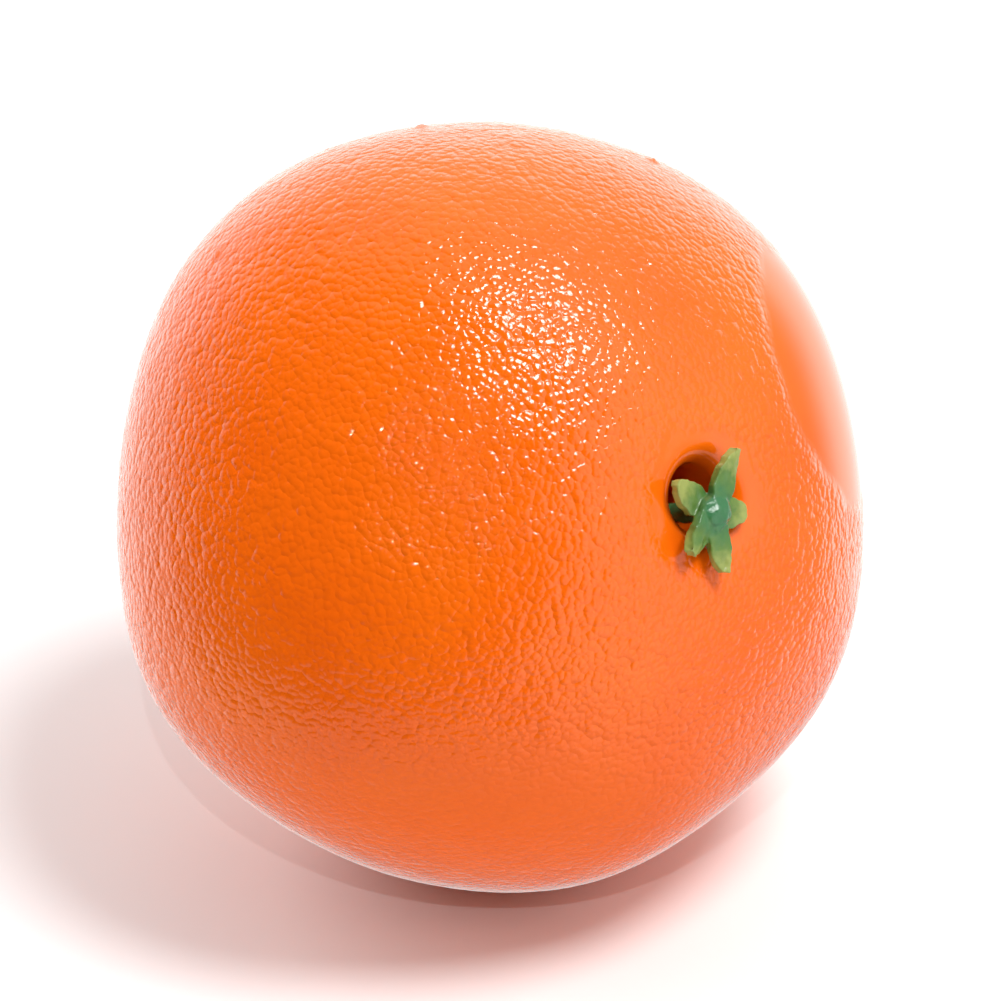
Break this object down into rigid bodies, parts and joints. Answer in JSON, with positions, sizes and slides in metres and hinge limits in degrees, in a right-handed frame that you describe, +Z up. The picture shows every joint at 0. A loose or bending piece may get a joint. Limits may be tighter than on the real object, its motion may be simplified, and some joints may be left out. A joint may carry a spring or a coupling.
{
  "type": "orange",
  "caption": "Round orange lying on a small flat spot, with pebbled glossy skin and a loose green star-shaped calyx standing in its open stem hole.",
  "frame": {"origin": "centre of the box of the whole object at the level of the flat spot it lies on", "axes": "+Z up; the axis from tip to stem lies in the XZ plane and rises 25 degrees towards +X, so the calyx faces +X"},
  "size_m": [0.0734, 0.0806, 0.0779],
  "materials": {
    "orange_skin": "glossy orange skin with a fine pebbled grain, smooth round the stem hole",
    "calyx_green": "soft satin green, blue-green on the boss and yellow-green at the lobe edges"
  },
  "bodies": {
    "root": {"orange_body": "orange_skin", "calyx": "calyx_green"}
  },
  "joints": []
}
